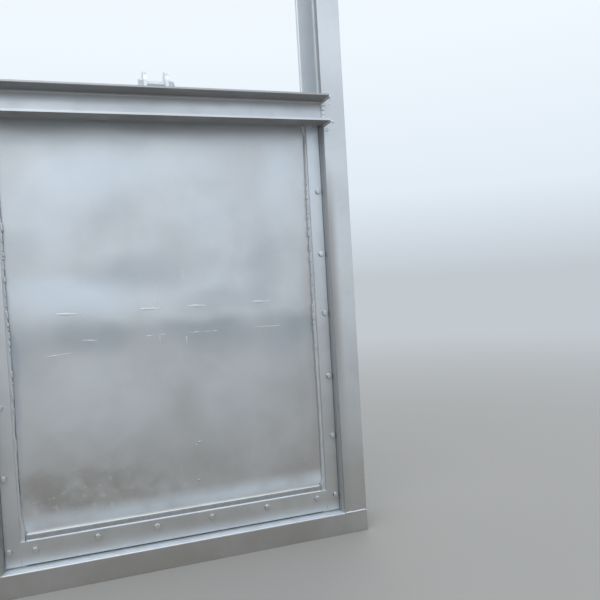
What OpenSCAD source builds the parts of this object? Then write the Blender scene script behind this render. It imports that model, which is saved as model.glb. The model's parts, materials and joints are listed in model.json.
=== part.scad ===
// Welded steel sluice gate: a frame of rolled channels with a rubber-sealed leaf that slides up in it.
// X runs across the gate, Y from its front to its back and Z up. The origin is on the back face of
// the sill, in the middle of its length and of its height.

/* [Opening] */
// Clear width between the two posts
opening_w = 800; // [600:10:1400]
// Clear height from the sill up to the crossbar
opening_h = 982; // [700:1:1600]
// Travel of the leaf from the sill to its highest place
lift = 1000; // [300:10:1700]

/* [Post and sill channel] */
// Depth of the channel, from the front to the back of the frame
post_depth = 160; // [150:1:170]
// Width of the flanges of a post
post_flange = 59; // [54:1:70]
// Width of the flanges of the sill
sill_flange = 53; // [50:1:70]
// Thickness of its web
post_web = 6; // [5:0.5:9]
// Mean thickness of its flanges
post_flange_t = 9.5; // [8:0.5:11]
// Radius at the root of its flanges
post_root_r = 9.5; // [7:0.5:10]
// Radius at the toe of its flanges
post_toe_r = 4.8; // [3:0.1:5]

/* [Crossbar channel] */
// Height of the crossbar
bar_h = 65; // [50:1:90]
// Reach of its flanges, from the back of the web to the toes
bar_flange = 55; // [40:1:60]
// Thickness of its web
bar_web = 5.5; // [4:0.5:7]
// Mean thickness of its flanges
bar_flange_t = 5.5; // [5:0.5:9]
// Radius at the root of its flanges
bar_root_r = 5; // [3:0.5:8]
// Radius at the toe of its flanges
bar_toe_r = 1.5; // [1:0.1:3]
// Slope of the inner faces of its flanges
bar_taper = 0.02; // [0:0.01:0.04]

/* [Leaf channel] */
// Depth of the channel that stiffens the leaf
rib_depth = 63; // [50:1:66]
// Width of its flanges
rib_flange = 40; // [34:1:44]
// Thickness of its web
rib_web = 4.8; // [4:0.1:6]
// Mean thickness of its flanges
rib_flange_t = 7.5; // [6:0.5:8]
// Radius at the root of its flanges
rib_root_r = 7.5; // [5:0.5:8]
// Radius at the toe of its flanges
rib_toe_r = 3.7; // [2:0.1:4]

/* [Head beam channel] */
// Height of the two beams over the posts
head_h = 80; // [65:1:120]
// Width of their flanges
head_flange = 43; // [36:1:44]
// Thickness of their webs
head_web = 5; // [4:0.5:7]
// Mean thickness of their flanges
head_flange_t = 8; // [6:0.5:9]
// Radius at the root of their flanges
head_root_r = 8; // [5:0.5:9]
// Radius at the toe of their flanges
head_toe_r = 4; // [2:0.1:4]

/* [Leaf] */
// Thickness of the clamp strips
strip_t = 6; // [4:0.5:8]
// Thickness of the flat rubber under the clamp strips
seal_t = 8; // [4:0.5:10]
// Thickness of the face plate
plate_t = 8; // [6:0.5:10]
// Reach of the face plate behind the posts, past each side of the opening
plate_lap = 32; // [28:1:40]
// Height of the top of the leaf above the crossbar
leaf_over = 15; // [10:1:40]
// Gap under the steel of the leaf
leaf_foot_gap = 10; // [6:1:20]
// Height of the middle beam above the sill, at its centre
middle_beam_z = 519; // [400:1:600]

/* [Clamp strips and seals] */
// Width of the side clamp strips
side_strip_w = 32; // [24:1:36]
// Gap from the outer edge of a side clamp strip to the post
side_strip_gap = 6; // [5:0.5:10]
// Height of the bottom clamp strip
bottom_strip_h = 51; // [40:1:70]
// Height of the top clamp strip
top_strip_h = 26; // [20:1:30]
// Gap from the top clamp strip to the top of the leaf
top_strip_gap = 4; // [2:0.5:10]
// Gap under the clamp strips
strip_foot_gap = 5; // [5:0.5:8]
// Width of rubber that shows past the inner edges of the strips
seal_lip = 11; // [8:1:18]
// Gap between a clamp strip and the bulb of its seal
bulb_gap = 1; // [1:0.5:3]
// Gap between a seal and the steel that it closes on, and between two pieces of rubber
seal_gap = 0.3; // [0.2:0.1:0.5]

/* [Slide shoes] */
// Length of a slide shoe
shoe_h = 120; // [80:5:200]
// Running gap behind a slide shoe
shoe_gap = 0.3; // [0.2:0.1:0.8]
// Gap beside a slide shoe, to the web of the post
shoe_side_gap = 5; // [5:0.5:8]
// Distance from the edge of the post's flange to the shoe
shoe_edge = 4; // [2:0.5:8]

/* [Lifting lugs] */
// Distance between the two lugs
lug_clear = 43; // [30:1:60]
// Thickness of a lug
lug_t = 8; // [6:0.5:12]
// Width of a lug
lug_w = 56; // [50:1:56]
// Height of a lug
lug_h = 58; // [56:1:90]
// Height of the bolt hole above the leaf
lug_hole_z = 28; // [24:1:34]
// Diameter of the bolt through the lugs
bolt_d = 16; // [12:1:20]
// Clearance of the bolt in the lugs, on its diameter
bolt_clearance = 0.6; // [0.4:0.1:1.5]

/* [Hoist seat] */
// Length of the seat plate
seat_l = 280; // [240:5:400]
// Thickness of the seat plate
seat_t = 12; // [8:1:20]
// Diameter of the hole for the stem
stem_hole_d = 44; // [30:1:45]
// Diameter of the hoist's bolt holes
seat_hole_d = 18; // [14:1:20]
// Distance between the bolt holes along the beams
seat_hole_x = 220; // [180:5:230]
// Thickness of the stiffeners under the seat
stiffener_t = 8; // [5:0.5:12]
// Distance between the two stiffeners in a head beam
stiffener_x = 110; // [60:5:150]
// Gap for the weld round a stiffener
stiffener_gap = 0.2; // [0.1:0.1:0.5]
// Thickness of the caps on the posts
cap_t = 10; // [6:1:16]
// Width of the caps on the posts
cap_w = 70; // [60:1:100]
// Gap left over the lugs when the leaf is at its highest
lift_clear = 25; // [10:1:100]

/* [Hidden] */

$fn = 48;
// Slope of the inner faces of a rolled channel's flanges
TAPER = 0.1;
// Rounding of a rolled channel's heel, as a share of the thickness of its web
HEEL_ROUND = 0.5;
// Steps in each rounding of a channel
ARC_STEPS = 6;
SILVER = [0.72, 0.74, 0.76];
GREY_RUBBER = [0.36, 0.38, 0.39];
ZINC = [0.62, 0.63, 0.62];

// A channel is listed as depth, flange, web, mean flange thickness, root radius, toe radius and slope
POST = [post_depth, post_flange, post_web, post_flange_t, post_root_r, post_toe_r, TAPER];
SILL = [post_depth, sill_flange, post_web, post_flange_t, post_root_r, post_toe_r, TAPER];
BAR = [bar_h, bar_flange, bar_web, bar_flange_t, bar_root_r, bar_toe_r, bar_taper];
RIB = [rib_depth, rib_flange, rib_web, rib_flange_t, rib_root_r, rib_toe_r, TAPER];
HEAD = [head_h, head_flange, head_web, head_flange_t, head_root_r, head_toe_r, TAPER];

// Levels
sill_top = sill_flange / 2;
bar_bottom = sill_top + opening_h;
bar_top = bar_bottom + bar_h;
leaf_bottom = sill_top + leaf_foot_gap;
leaf_top = bar_top + leaf_over;
leaf_h = leaf_top - leaf_bottom;
strip_bottom = sill_top + strip_foot_gap;
strip_top = leaf_top - top_strip_gap;
lug_top = leaf_top + lug_h;
cap_top = lug_top + lift + lift_clear;
post_h = cap_top - cap_t - sill_top;
head_top = cap_top + head_h;

// Distances across the gate, from its middle
half_open = opening_w / 2;
post_heel = half_open + post_flange;
strip_out = half_open - side_strip_gap;
strip_in = strip_out - side_strip_w;
lip_in = strip_in - seal_lip;
plate_edge = half_open + plate_lap;
end_toe = plate_edge - 2;
end_heel = end_toe - rib_flange;

// Distances from the back of the frame. The beams of the leaf are centred in the posts.
front = -post_depth;
stem_y = front / 2;
rib_y = stem_y - rib_depth / 2;
rib_back = rib_y + rib_depth;
plate_y = rib_y - plate_t;
seal_y = plate_y - seal_t;
strip_y = seal_y - strip_t;

// Thickness of a channel's flange at a distance from its heel
function flange_at(c, from_heel) = c[3] + c[6] * (c[1] / 2 - from_heel);

// Points on an arc
function arc(cx, cy, r, a0, a1) = [
    for (i = [0 : ARC_STEPS])
        let (a = a0 + (a1 - a0) * i / ARC_STEPS)
            [cx + r * cos(a), cy + r * sin(a)]
];

function backward(list) = [for (i = [len(list) - 1 : -1 : 0]) list[i]];

// Inner outline of one flange, from its toe to its root, with the flange's outer face on y = 0
function flange_outline(c) =
    let (
        slant = sqrt(1 + c[6] * c[6]),
        full = 90 - atan(c[6]),
        heel_t = flange_at(c, 0),
        root_y = heel_t - c[6] * (c[2] + c[4]) + c[4] * slant,
        toe_y = heel_t - c[6] * (c[1] - c[5]) - c[5] * slant
    )
    concat(
        arc(c[1] - c[5], toe_y, c[5], 0, full),
        arc(c[2] + c[4], root_y, c[4], 180 + full, 180)
    );

// Cross-section of a rolled channel: heel on x = 0, toes towards +x, middle of the web on y = 0
module channel_section(c) {
    lower = [for (p = flange_outline(c)) [p[0], p[1] - c[0] / 2]];
    upper = [for (p = backward(flange_outline(c))) [p[0], c[0] / 2 - p[1]]];
    heel_r = HEEL_ROUND * c[2];
    polygon(concat(
        arc(heel_r, heel_r - c[0] / 2, heel_r, 180, 270),
        [[c[1], -c[0] / 2]],
        lower,
        upper,
        [[c[1], c[0] / 2]],
        arc(heel_r, c[0] / 2 - heel_r, heel_r, 90, 180)
    ));
}

module channel(c, length) {
    linear_extrude(length) channel_section(c);
}

// Channel across the gate, centred on X, with its toes down
module channel_toes_down(c, length) {
    translate([-length / 2, 0, 0]) rotate([0, 90, 0]) channel(c, length);
}

// Channel across the gate, centred on X, with its toes to the front
module channel_toes_front(c, length) {
    translate([length / 2, 0, 0]) rotate([90, 0, -90]) channel(c, length);
}

// Makes the right-hand piece into the left-hand one
module other_side() {
    mirror([1, 0, 0]) children();
}

// Frame

module right_post() {
    color(SILVER)
        translate([post_heel, stem_y, sill_top])
            other_side() channel(POST, post_h);
}

module left_post() {
    other_side() right_post();
}

module sill() {
    color(SILVER)
        translate([0, stem_y, sill_top])
            channel_toes_down(SILL, 2 * post_heel);
}

// The web of the crossbar is flush with the front of the posts, and its ends meet their flanges
module crossbar() {
    color(SILVER)
        translate([0, front + bar_web, bar_bottom + bar_h / 2])
            channel_toes_front(BAR, opening_w);
}

module right_post_cap() {
    color(SILVER)
        translate([post_heel - cap_w, front, cap_top - cap_t])
            cube([cap_w, post_depth, cap_t]);
}

module left_post_cap() {
    other_side() right_post_cap();
}

// The head beams are flush with the front and the back of the posts, and the stem passes between
// their heels
head_heel = post_depth / 2 - head_flange;
seat_hole_y = head_heel + head_flange / 2;

module seat_holes(depth) {
    for (x = [-1, 1])
        for (y = [-1, 1])
            translate([x * seat_hole_x / 2, stem_y + y * seat_hole_y, head_top - depth])
                cylinder(h = depth + seat_t + 1, d = seat_hole_d);
}

module front_head_beam() {
    color(SILVER)
        difference() {
            translate([0, stem_y - head_heel, cap_top + head_h / 2])
                channel_toes_front(HEAD, 2 * post_heel);
            seat_holes(head_h / 2);
        }
}

module back_head_beam() {
    translate([0, 2 * stem_y, 0]) mirror([0, 1, 0]) front_head_beam();
}

module hoist_seat() {
    color(SILVER)
        difference() {
            translate([-seat_l / 2, front, head_top])
                cube([seat_l, post_depth, seat_t]);
            translate([0, stem_y, head_top - 1])
                cylinder(h = seat_t + 2, d = stem_hole_d);
            seat_holes(1);
        }
}

// Four plates that stand between the flanges of the head beams, under the hoist seat
module seat_stiffeners() {
    snipe = head_root_r;
    heel_y = head_heel + head_web;
    toe_y = head_heel + head_flange - head_toe_r;
    heel_z = flange_at(HEAD, head_web) + stiffener_gap;
    snipe_z = flange_at(HEAD, head_web + snipe) + stiffener_gap;
    toe_z = flange_at(HEAD, head_flange - head_toe_r) + stiffener_gap;
    color(SILVER)
        for (x = [-1, 1])
            for (side = [0, 1])
                translate([x * stiffener_x / 2 - stiffener_t / 2, stem_y, cap_top])
                    mirror([0, side, 0])
                        rotate([90, 0, 90])
                            linear_extrude(stiffener_t)
                                polygon([
                                    [heel_y, heel_z + snipe],
                                    [heel_y + snipe, snipe_z],
                                    [toe_y, toe_z],
                                    [toe_y, head_h - toe_z],
                                    [heel_y + snipe, head_h - snipe_z],
                                    [heel_y, head_h - heel_z - snipe]
                                ]);
}

// Leaf

module face_plate() {
    color(SILVER)
        translate([-plate_edge, plate_y, leaf_bottom])
            cube([2 * plate_edge, plate_t, leaf_h]);
}

module right_side_strip() {
    color(SILVER)
        translate([strip_in, strip_y, strip_bottom])
            cube([side_strip_w, strip_t, strip_top - strip_bottom]);
}

module left_side_strip() {
    other_side() right_side_strip();
}

// Clamp strip between the two side strips, with a hairline joint at each end
module cross_strip(z, height) {
    joint = 0.3;
    color(SILVER)
        translate([joint - strip_in, strip_y, z])
            cube([2 * (strip_in - joint), strip_t, height]);
}

module bottom_strip() {
    cross_strip(strip_bottom, bottom_strip_h);
}

module top_strip() {
    cross_strip(strip_top - top_strip_h, top_strip_h);
}

// The bulb of a side seal lies beside its clamp strip, and fills the space between the face plate
// and the post's tapered flange
slant = sqrt(1 + TAPER * TAPER);
bulb_edge = strip_out + bulb_gap;
side_bulb_space = plate_y - front - flange_at(POST, post_heel - bulb_edge) - seal_gap * slant;
side_bulb_r = side_bulb_space / (1 + slant + TAPER);
bulb_x = bulb_edge + side_bulb_r;

module right_side_seal() {
    color(GREY_RUBBER)
        translate([0, 0, sill_top + seal_gap])
            linear_extrude(leaf_top - sill_top - seal_gap)
                union() {
                    translate([lip_in, seal_y]) square([bulb_x - lip_in, seal_t]);
                    translate([bulb_x, plate_y - side_bulb_r]) circle(side_bulb_r);
                }
}

module left_side_seal() {
    other_side() right_side_seal();
}

module bottom_seal() {
    half = lip_in - seal_gap;
    color(GREY_RUBBER)
        translate([-half, seal_y, sill_top + seal_gap])
            cube([2 * half, seal_t, strip_foot_gap + bottom_strip_h + seal_lip - seal_gap]);
}

// The bulb of the top seal lies under the top strip, and closes on the back of the crossbar
top_bulb_r = (plate_y - front - bar_web - seal_gap) / 2;

module top_seal() {
    half = lip_in - seal_gap;
    bulb_z = strip_top - top_strip_h - bulb_gap - top_bulb_r;
    color(GREY_RUBBER)
        translate([half, 0, 0])
            rotate([90, 0, -90])
                linear_extrude(2 * half)
                    union() {
                        translate([-plate_y, bulb_z]) square([seal_t, leaf_top - bulb_z]);
                        translate([top_bulb_r - plate_y, bulb_z]) circle(top_bulb_r);
                    }
}

module right_end_beam() {
    color(SILVER)
        translate([end_heel, rib_y + rib_depth / 2, leaf_bottom])
            channel(RIB, leaf_h);
}

module left_end_beam() {
    other_side() right_end_beam();
}

module top_beam() {
    color(SILVER)
        translate([0, rib_y + rib_depth / 2, leaf_top])
            channel_toes_down(RIB, 2 * end_heel);
}

module bottom_beam() {
    color(SILVER)
        translate([0, rib_y + rib_depth / 2, leaf_bottom + rib_flange])
            channel_toes_down(RIB, 2 * end_heel);
}

// The middle beam and the two ribs stand with their toes on the face plate
module middle_beam() {
    color(SILVER)
        translate([0, rib_y + rib_flange, sill_top + middle_beam_z])
            channel_toes_front(RIB, 2 * end_heel);
}

module rib(z0, z1) {
    color(SILVER)
        translate([0, rib_y + rib_flange, z0])
            rotate([0, 0, -90]) channel(RIB, z1 - z0);
}

module upper_rib() {
    rib(sill_top + middle_beam_z + rib_depth / 2, leaf_top - rib_flange);
}

module lower_rib() {
    rib(leaf_bottom + rib_flange, sill_top + middle_beam_z - rib_depth / 2);
}

// A shoe wraps the back corner of the leaf and runs on the tapered flange of the post
function shoe_face(x) = -flange_at(POST, post_heel - x) - shoe_gap * slant;

module right_shoe(z) {
    inner = half_open + shoe_edge;
    outer = post_heel - post_web - shoe_side_gap;
    corner = post_root_r + 1;
    color(ZINC)
        translate([0, 0, z])
            linear_extrude(shoe_h)
                polygon([
                    [inner, rib_back],
                    [inner, shoe_face(inner)],
                    [outer - corner, shoe_face(outer - corner)],
                    [outer, shoe_face(outer - corner) - corner],
                    [outer, rib_back - rib_flange_t],
                    [end_toe, rib_back - rib_flange_t],
                    [end_toe, rib_back]
                ]);
}

module right_upper_shoe() {
    right_shoe(leaf_top - rib_flange - shoe_h);
}

module right_lower_shoe() {
    right_shoe(leaf_bottom + rib_flange);
}

module left_upper_shoe() {
    other_side() right_upper_shoe();
}

module left_lower_shoe() {
    other_side() right_lower_shoe();
}

module right_lug() {
    crown = lug_w / 2;
    color(SILVER)
        translate([lug_clear / 2, stem_y, leaf_top])
            rotate([90, 0, 90])
                difference() {
                    linear_extrude(lug_t)
                        union() {
                            translate([-crown, 0]) square([lug_w, lug_h - crown]);
                            translate([0, lug_h - crown]) circle(crown);
                        }
                    translate([0, lug_hole_z, -1])
                        cylinder(h = lug_t + 2, d = bolt_d + bolt_clearance);
                }
}

module left_lug() {
    other_side() right_lug();
}

// Proportions of a hexagon bolt and its nut
hex_across = 1.5 * bolt_d;
hex_d = hex_across / cos(30);
head_len = 0.63 * bolt_d;
nut_len = 0.8 * bolt_d;
bolt_end = 0.25 * bolt_d;
grip = lug_clear + 2 * lug_t;

module lug_bolt() {
    color(ZINC)
        translate([-grip / 2 - head_len, stem_y, leaf_top + lug_hole_z])
            rotate([0, 90, 0])
                union() {
                    cylinder(h = head_len, d = hex_d, $fn = 6);
                    cylinder(h = head_len + grip + nut_len + bolt_end, d = bolt_d);
                }
}

module lug_nut() {
    color(ZINC)
        translate([grip / 2, stem_y, leaf_top + lug_hole_z])
            rotate([0, 90, 0])
                difference() {
                    cylinder(h = nut_len, d = hex_d, $fn = 6);
                    translate([0, 0, -1]) cylinder(h = nut_len + 2, d = bolt_d);
                }
}

left_post();
right_post();
sill();
crossbar();
left_post_cap();
right_post_cap();
front_head_beam();
back_head_beam();
hoist_seat();
seat_stiffeners();
face_plate();
left_side_strip();
right_side_strip();
bottom_strip();
top_strip();
left_side_seal();
right_side_seal();
bottom_seal();
top_seal();
left_end_beam();
right_end_beam();
top_beam();
middle_beam();
bottom_beam();
upper_rib();
lower_rib();
left_upper_shoe();
right_upper_shoe();
left_lower_shoe();
right_lower_shoe();
left_lug();
right_lug();
lug_bolt();
lug_nut();
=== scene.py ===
"""Finish of a welded steel sluice gate: aluminium paint, rubber seals, bolts and weld beads."""

import json
import math
import random

import bpy
from mathutils import Matrix, Quaternion, Vector, noise


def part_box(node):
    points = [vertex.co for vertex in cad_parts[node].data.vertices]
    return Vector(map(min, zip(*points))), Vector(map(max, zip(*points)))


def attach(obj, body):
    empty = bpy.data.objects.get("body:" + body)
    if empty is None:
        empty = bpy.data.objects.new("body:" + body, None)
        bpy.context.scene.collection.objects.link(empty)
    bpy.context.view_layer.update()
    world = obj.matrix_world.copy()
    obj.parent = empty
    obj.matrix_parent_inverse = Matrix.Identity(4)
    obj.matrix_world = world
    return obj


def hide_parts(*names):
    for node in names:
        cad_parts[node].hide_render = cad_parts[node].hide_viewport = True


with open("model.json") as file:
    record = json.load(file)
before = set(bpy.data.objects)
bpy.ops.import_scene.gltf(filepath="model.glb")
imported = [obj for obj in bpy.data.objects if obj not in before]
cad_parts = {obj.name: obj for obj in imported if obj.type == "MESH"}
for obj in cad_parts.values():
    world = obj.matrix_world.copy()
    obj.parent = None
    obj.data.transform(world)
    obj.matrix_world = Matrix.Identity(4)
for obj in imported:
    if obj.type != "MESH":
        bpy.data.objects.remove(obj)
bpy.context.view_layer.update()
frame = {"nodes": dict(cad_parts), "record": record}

bl_info = {
    "name": "Sluice Gate Finish",
    "version": (1, 0, 0),
    "blender": (4, 5, 0),
    "location": "View3D > Sidebar > Sluice Gate",
    "description": "Paints a welded sluice gate and adds its seals, bolts and weld beads",
    "category": "Object",
}

# Places taken from the model, in metres

POST_LOW, POST_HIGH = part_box("right_post")
SILL_LOW, SILL_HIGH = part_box("sill")
BAR_LOW, BAR_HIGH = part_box("crossbar")
CAP_LOW, CAP_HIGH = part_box("right_post_cap")
FRONT_HEAD_LOW, FRONT_HEAD_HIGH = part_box("front_head_beam")
BACK_HEAD_LOW, BACK_HEAD_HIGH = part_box("back_head_beam")
SEAT_LOW, SEAT_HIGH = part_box("hoist_seat")
PLATE_LOW, PLATE_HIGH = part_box("face_plate")
SIDE_STRIP_LOW, SIDE_STRIP_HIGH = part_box("right_side_strip")
BOTTOM_STRIP_LOW, BOTTOM_STRIP_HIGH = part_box("bottom_strip")
TOP_STRIP_LOW, TOP_STRIP_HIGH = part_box("top_strip")
SIDE_SEAL_LOW, SIDE_SEAL_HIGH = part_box("right_side_seal")
BOTTOM_SEAL_LOW, BOTTOM_SEAL_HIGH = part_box("bottom_seal")
TOP_SEAL_LOW, TOP_SEAL_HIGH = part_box("top_seal")
END_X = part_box("right_end_beam")[0].x
TOP_BEAM_LOW, TOP_BEAM_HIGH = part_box("top_beam")
MIDDLE_BEAM_LOW, MIDDLE_BEAM_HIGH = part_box("middle_beam")
BOTTOM_BEAM_LOW, BOTTOM_BEAM_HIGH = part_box("bottom_beam")
RIB_LOW, RIB_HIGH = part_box("upper_rib")
LUG_LOW, LUG_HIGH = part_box("right_lug")
BOLT_LOW, BOLT_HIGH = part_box("lug_bolt")
NUT_LOW, NUT_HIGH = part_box("lug_nut")
SILL_TOP = SILL_HIGH.z
FRONT = POST_LOW.y
OPENING_EDGE = POST_LOW.x
RUBBER_FRONT = BOTTOM_SEAL_LOW.y
POST_WEB = 0.006
POST_FLANGE = 0.0085
BAR_FLANGE = 0.0055
BAR_WEB = 0.0055
HEAD_WEB = 0.005
STIFFENER_X = 0.055

# Where the stitch welds behind the face plate lie: places across along the edges of the middle beam, and
# heights above the sill along those of the ribs. Those near the middle beam show on the plate's front
MIDDLE_STITCHES = {
    MIDDLE_BEAM_HIGH.z: ((-0.260, -0.203), (-0.074, -0.025), (0.036, 0.084), (0.1945, 0.2485)),
    MIDDLE_BEAM_LOW.z: ((-0.206, -0.172), (-0.064, -0.016), (0.0325, 0.109), (0.196, 0.270)),
}
RIB_STITCHES = {
    RIB_LOW.x: ((0.150, 0.195), (0.300, 0.345), (0.463, 0.484),
                (0.560, 0.607), (0.735, 0.780), (0.900, 0.950)),
    RIB_HIGH.x: ((0.110, 0.155), (0.270, 0.312), (0.457, 0.479),
                 (0.600, 0.640), (0.780, 0.826), (0.930, 0.975)),
}

# One more mark of the plate, under the middle beam: its two ends across, and its height
LOW_MARK = (-0.290, -0.222, MIDDLE_BEAM_LOW.z - 0.027)

# Bolts, which were drilled by eye: heights above the sill, places across, and both for the bottom row
RIGHT_BOLTS = (0.042, 0.196, 0.3495, 0.5105, 0.662, 0.8205, 0.9875)
LEFT_BOLTS = (0.038, 0.200, 0.357, 0.516, 0.669, 0.827, 0.987)
TOP_BOLTS = (-0.331, -0.204, -0.069, 0.066, 0.198, 0.334)
BOTTOM_BOLTS = ((-0.332, 0.035), (-0.199, 0.040), (-0.066, 0.040),
                (0.064, 0.040), (0.203, 0.040), (0.335, 0.040))

# Width of rubber that shows beside the right and the left strip, at heights above the sill
RIGHT_LIP = ((0.0, 0.0117), (0.070, 0.0117), (0.09, 0.0080), (0.25, 0.0065), (0.38, 0.0078),
             (0.48, 0.0082), (0.58, 0.0066), (0.66, 0.0060), (0.76, 0.0072), (0.84, 0.0062),
             (0.91, 0.0048), (0.955, 0.0042), (1.0, 0.011))
LEFT_LIP = ((0.0, 0.0117), (0.070, 0.0117), (0.12, 0.0055), (0.30, 0.0065), (0.45, 0.0080),
            (0.60, 0.0060), (0.75, 0.0075), (0.90, 0.0060), (0.955, 0.0065), (1.0, 0.011))

# Drops of paint on the face plate: across, height above the sill and radius
PLATE_DROPS = ((0.048, 0.221, 0.0030), (0.040, 0.130, 0.0028), (0.0395, 0.2155, 0.0018))

# Clouds of painted light and shade on the face plate: across, height above the sill, half width, half
# height and strength, where plus is a painted highlight and minus painted shade
PLATE_LIT_AND_SHADED_CLOUDS = (
    (-0.15, 0.87, 0.17, 0.08, 0.55),
    (0.05, 0.88, 0.13, 0.06, 0.35),
    (0.28, 0.86, 0.06, 0.14, 0.45),
    (-0.25, 0.78, 0.09, 0.10, 0.35),
    (0.12, 0.76, 0.12, 0.10, 0.25),
    (-0.22, 0.585, 0.19, 0.060, 0.75),
    (0.09, 0.62, 0.10, 0.05, 0.20),
    (0.10, 0.30, 0.13, 0.12, 0.15),
    (-0.16, 0.34, 0.13, 0.10, 0.15),
    (-0.10, 0.785, 0.06, 0.05, -0.20),
    (-0.08, 0.64, 0.13, 0.055, -0.45),
    (0.13, 0.565, 0.14, 0.045, -0.40),
    (-0.30, 0.70, 0.05, 0.05, -0.22),
    (0.235, 0.63, 0.05, 0.12, -0.40),
    (-0.19, 0.490, 0.14, 0.045, -0.55),
    (0.27, 0.45, 0.07, 0.08, -0.45),
    (0.31, 0.33, 0.04, 0.10, -0.35),
    (0.01, 0.33, 0.06, 0.10, -0.20),
    (-0.315, 0.155, 0.050, 0.045, -0.80),
    (-0.20, 0.165, 0.06, 0.030, -0.40),
    (0.00, 0.170, 0.14, 0.05, -0.25),
    (0.30, 0.13, 0.06, 0.08, -0.50),
    (-0.237, 0.150, 0.013, 0.013, 0.60),
    (-0.085, 0.145, 0.011, 0.015, 0.40),
    (-0.336, 0.105, 0.010, 0.016, 0.30),
    (0.345, 0.40, 0.022, 0.38, -0.40),
    (-0.352, 0.52, 0.010, 0.32, -0.70),
)

# Buckles of the face plate between its beams: across, up, radius and depth, where minus is a dish
BUCKLES = (
    (-0.24, 0.47, 0.10, -0.0012),
    (0.24, 0.68, 0.12, -0.0014),
    (-0.10, 0.74, 0.14, -0.0010),
    (0.26, 0.38, 0.11, 0.0011),
    (0.02, 0.36, 0.13, -0.0010),
    (-0.18, 0.26, 0.12, 0.0010),
    (0.12, 0.20, 0.12, -0.0009),
    (-0.26, 0.86, 0.11, 0.0009),
    (0.10, 0.88, 0.14, 0.0008),
)

FRAME_NODES = frame["record"]["behaviour"]["bodies"]["frame"]
LEAF_NODES = frame["record"]["behaviour"]["bodies"]["leaf"]


# Shared helpers for meshes

class Shape:
    """Points and faces that grow as shapes are joined to them."""

    def __init__(self):
        self.verts = []
        self.faces = []

    def rings(self, rings):
        """Joins rings of equally many points into a tube with closed ends."""
        n = len(rings[0])
        start = len(self.verts)
        for ring in rings:
            self.verts.extend(ring)
        for k in range(len(rings) - 1):
            a = start + k * n
            b = a + n
            for i in range(n):
                j = (i + 1) % n
                self.faces.append((a + i, a + j, b + j, b + i))
        last = start + (len(rings) - 1) * n
        self.faces.append(tuple(start + i for i in reversed(range(n))))
        self.faces.append(tuple(last + i for i in range(n)))

    def spatter(self, place, radius, flat=1.0):
        """Adds a small drop of weld metal or paint, flattened against the front of what it hit."""
        sides = 6
        start = len(self.verts)
        for tilt in (math.pi / 3, math.pi * 2 / 3):
            for k in range(sides):
                turn = math.tau * k / sides
                out = radius * math.sin(tilt)
                self.verts.append(place + Vector((
                    out * math.cos(turn), radius * math.cos(tilt) * flat, out * math.sin(turn))))
        top = len(self.verts)
        for way in (1, -1):
            self.verts.append(place + Vector((0, way * radius * flat, 0)))
        for k in range(sides):
            a = start + k
            b = start + (k + 1) % sides
            self.faces += [(top, b, a), (a, b, sides + b, sides + a), (top + 1, sides + a, sides + b)]

    def piece(self, name, material, body, slot, smooth=True):
        """Makes one object of the shape, paints it and sets it on its body."""
        mesh = bpy.data.meshes.new(name)
        mesh.from_pydata(self.verts, [], self.faces)
        mesh.validate()
        mesh.materials.append(material)
        mesh.polygons.foreach_set("use_smooth", [smooth] * len(mesh.polygons))
        mesh.update()
        made = bpy.data.objects.new(name, mesh)
        bpy.context.scene.collection.objects.link(made)
        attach(made, body)
        return made


def spread(low, high, steps):
    """Evenly spaced values from the lower end to the upper one."""
    return [low + (high - low) * k / steps for k in range(steps + 1)]


def turned(profile, place, axis, sides, turn=0.0, shape_of=None):
    """Rings of a profile, listed as distance along and radius, turned about an axis."""
    side = axis.orthogonal().normalized()
    other = axis.cross(side)
    rings = []
    for along, radius in profile:
        centre = place + axis * along
        ring = []
        for k in range(sides):
            a = math.tau * k / sides
            reach = shape_of(a, along, radius) if shape_of else radius
            ring.append(centre + (side * math.cos(turn + a) + other * math.sin(turn + a)) * reach)
        rings.append(ring)
    return rings


def hexagon(a, across):
    """Distance from the middle of a hexagon to its side, at an angle."""
    step = math.tau / 6
    return across / 2 / math.cos((a + step / 2) % step - step / 2)


def bevel(piece, width, angle=38.0):
    """Rounds the edges of a piece that are sharper than an angle in degrees."""
    modifier = piece.modifiers.new("rounded_edges", "BEVEL")
    modifier.width = width
    modifier.segments = 2
    modifier.limit_method = "ANGLE"
    modifier.angle_limit = math.radians(angle)
    modifier.harden_normals = True
    modifier.use_clamp_overlap = True


# Shared helpers for materials

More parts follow.
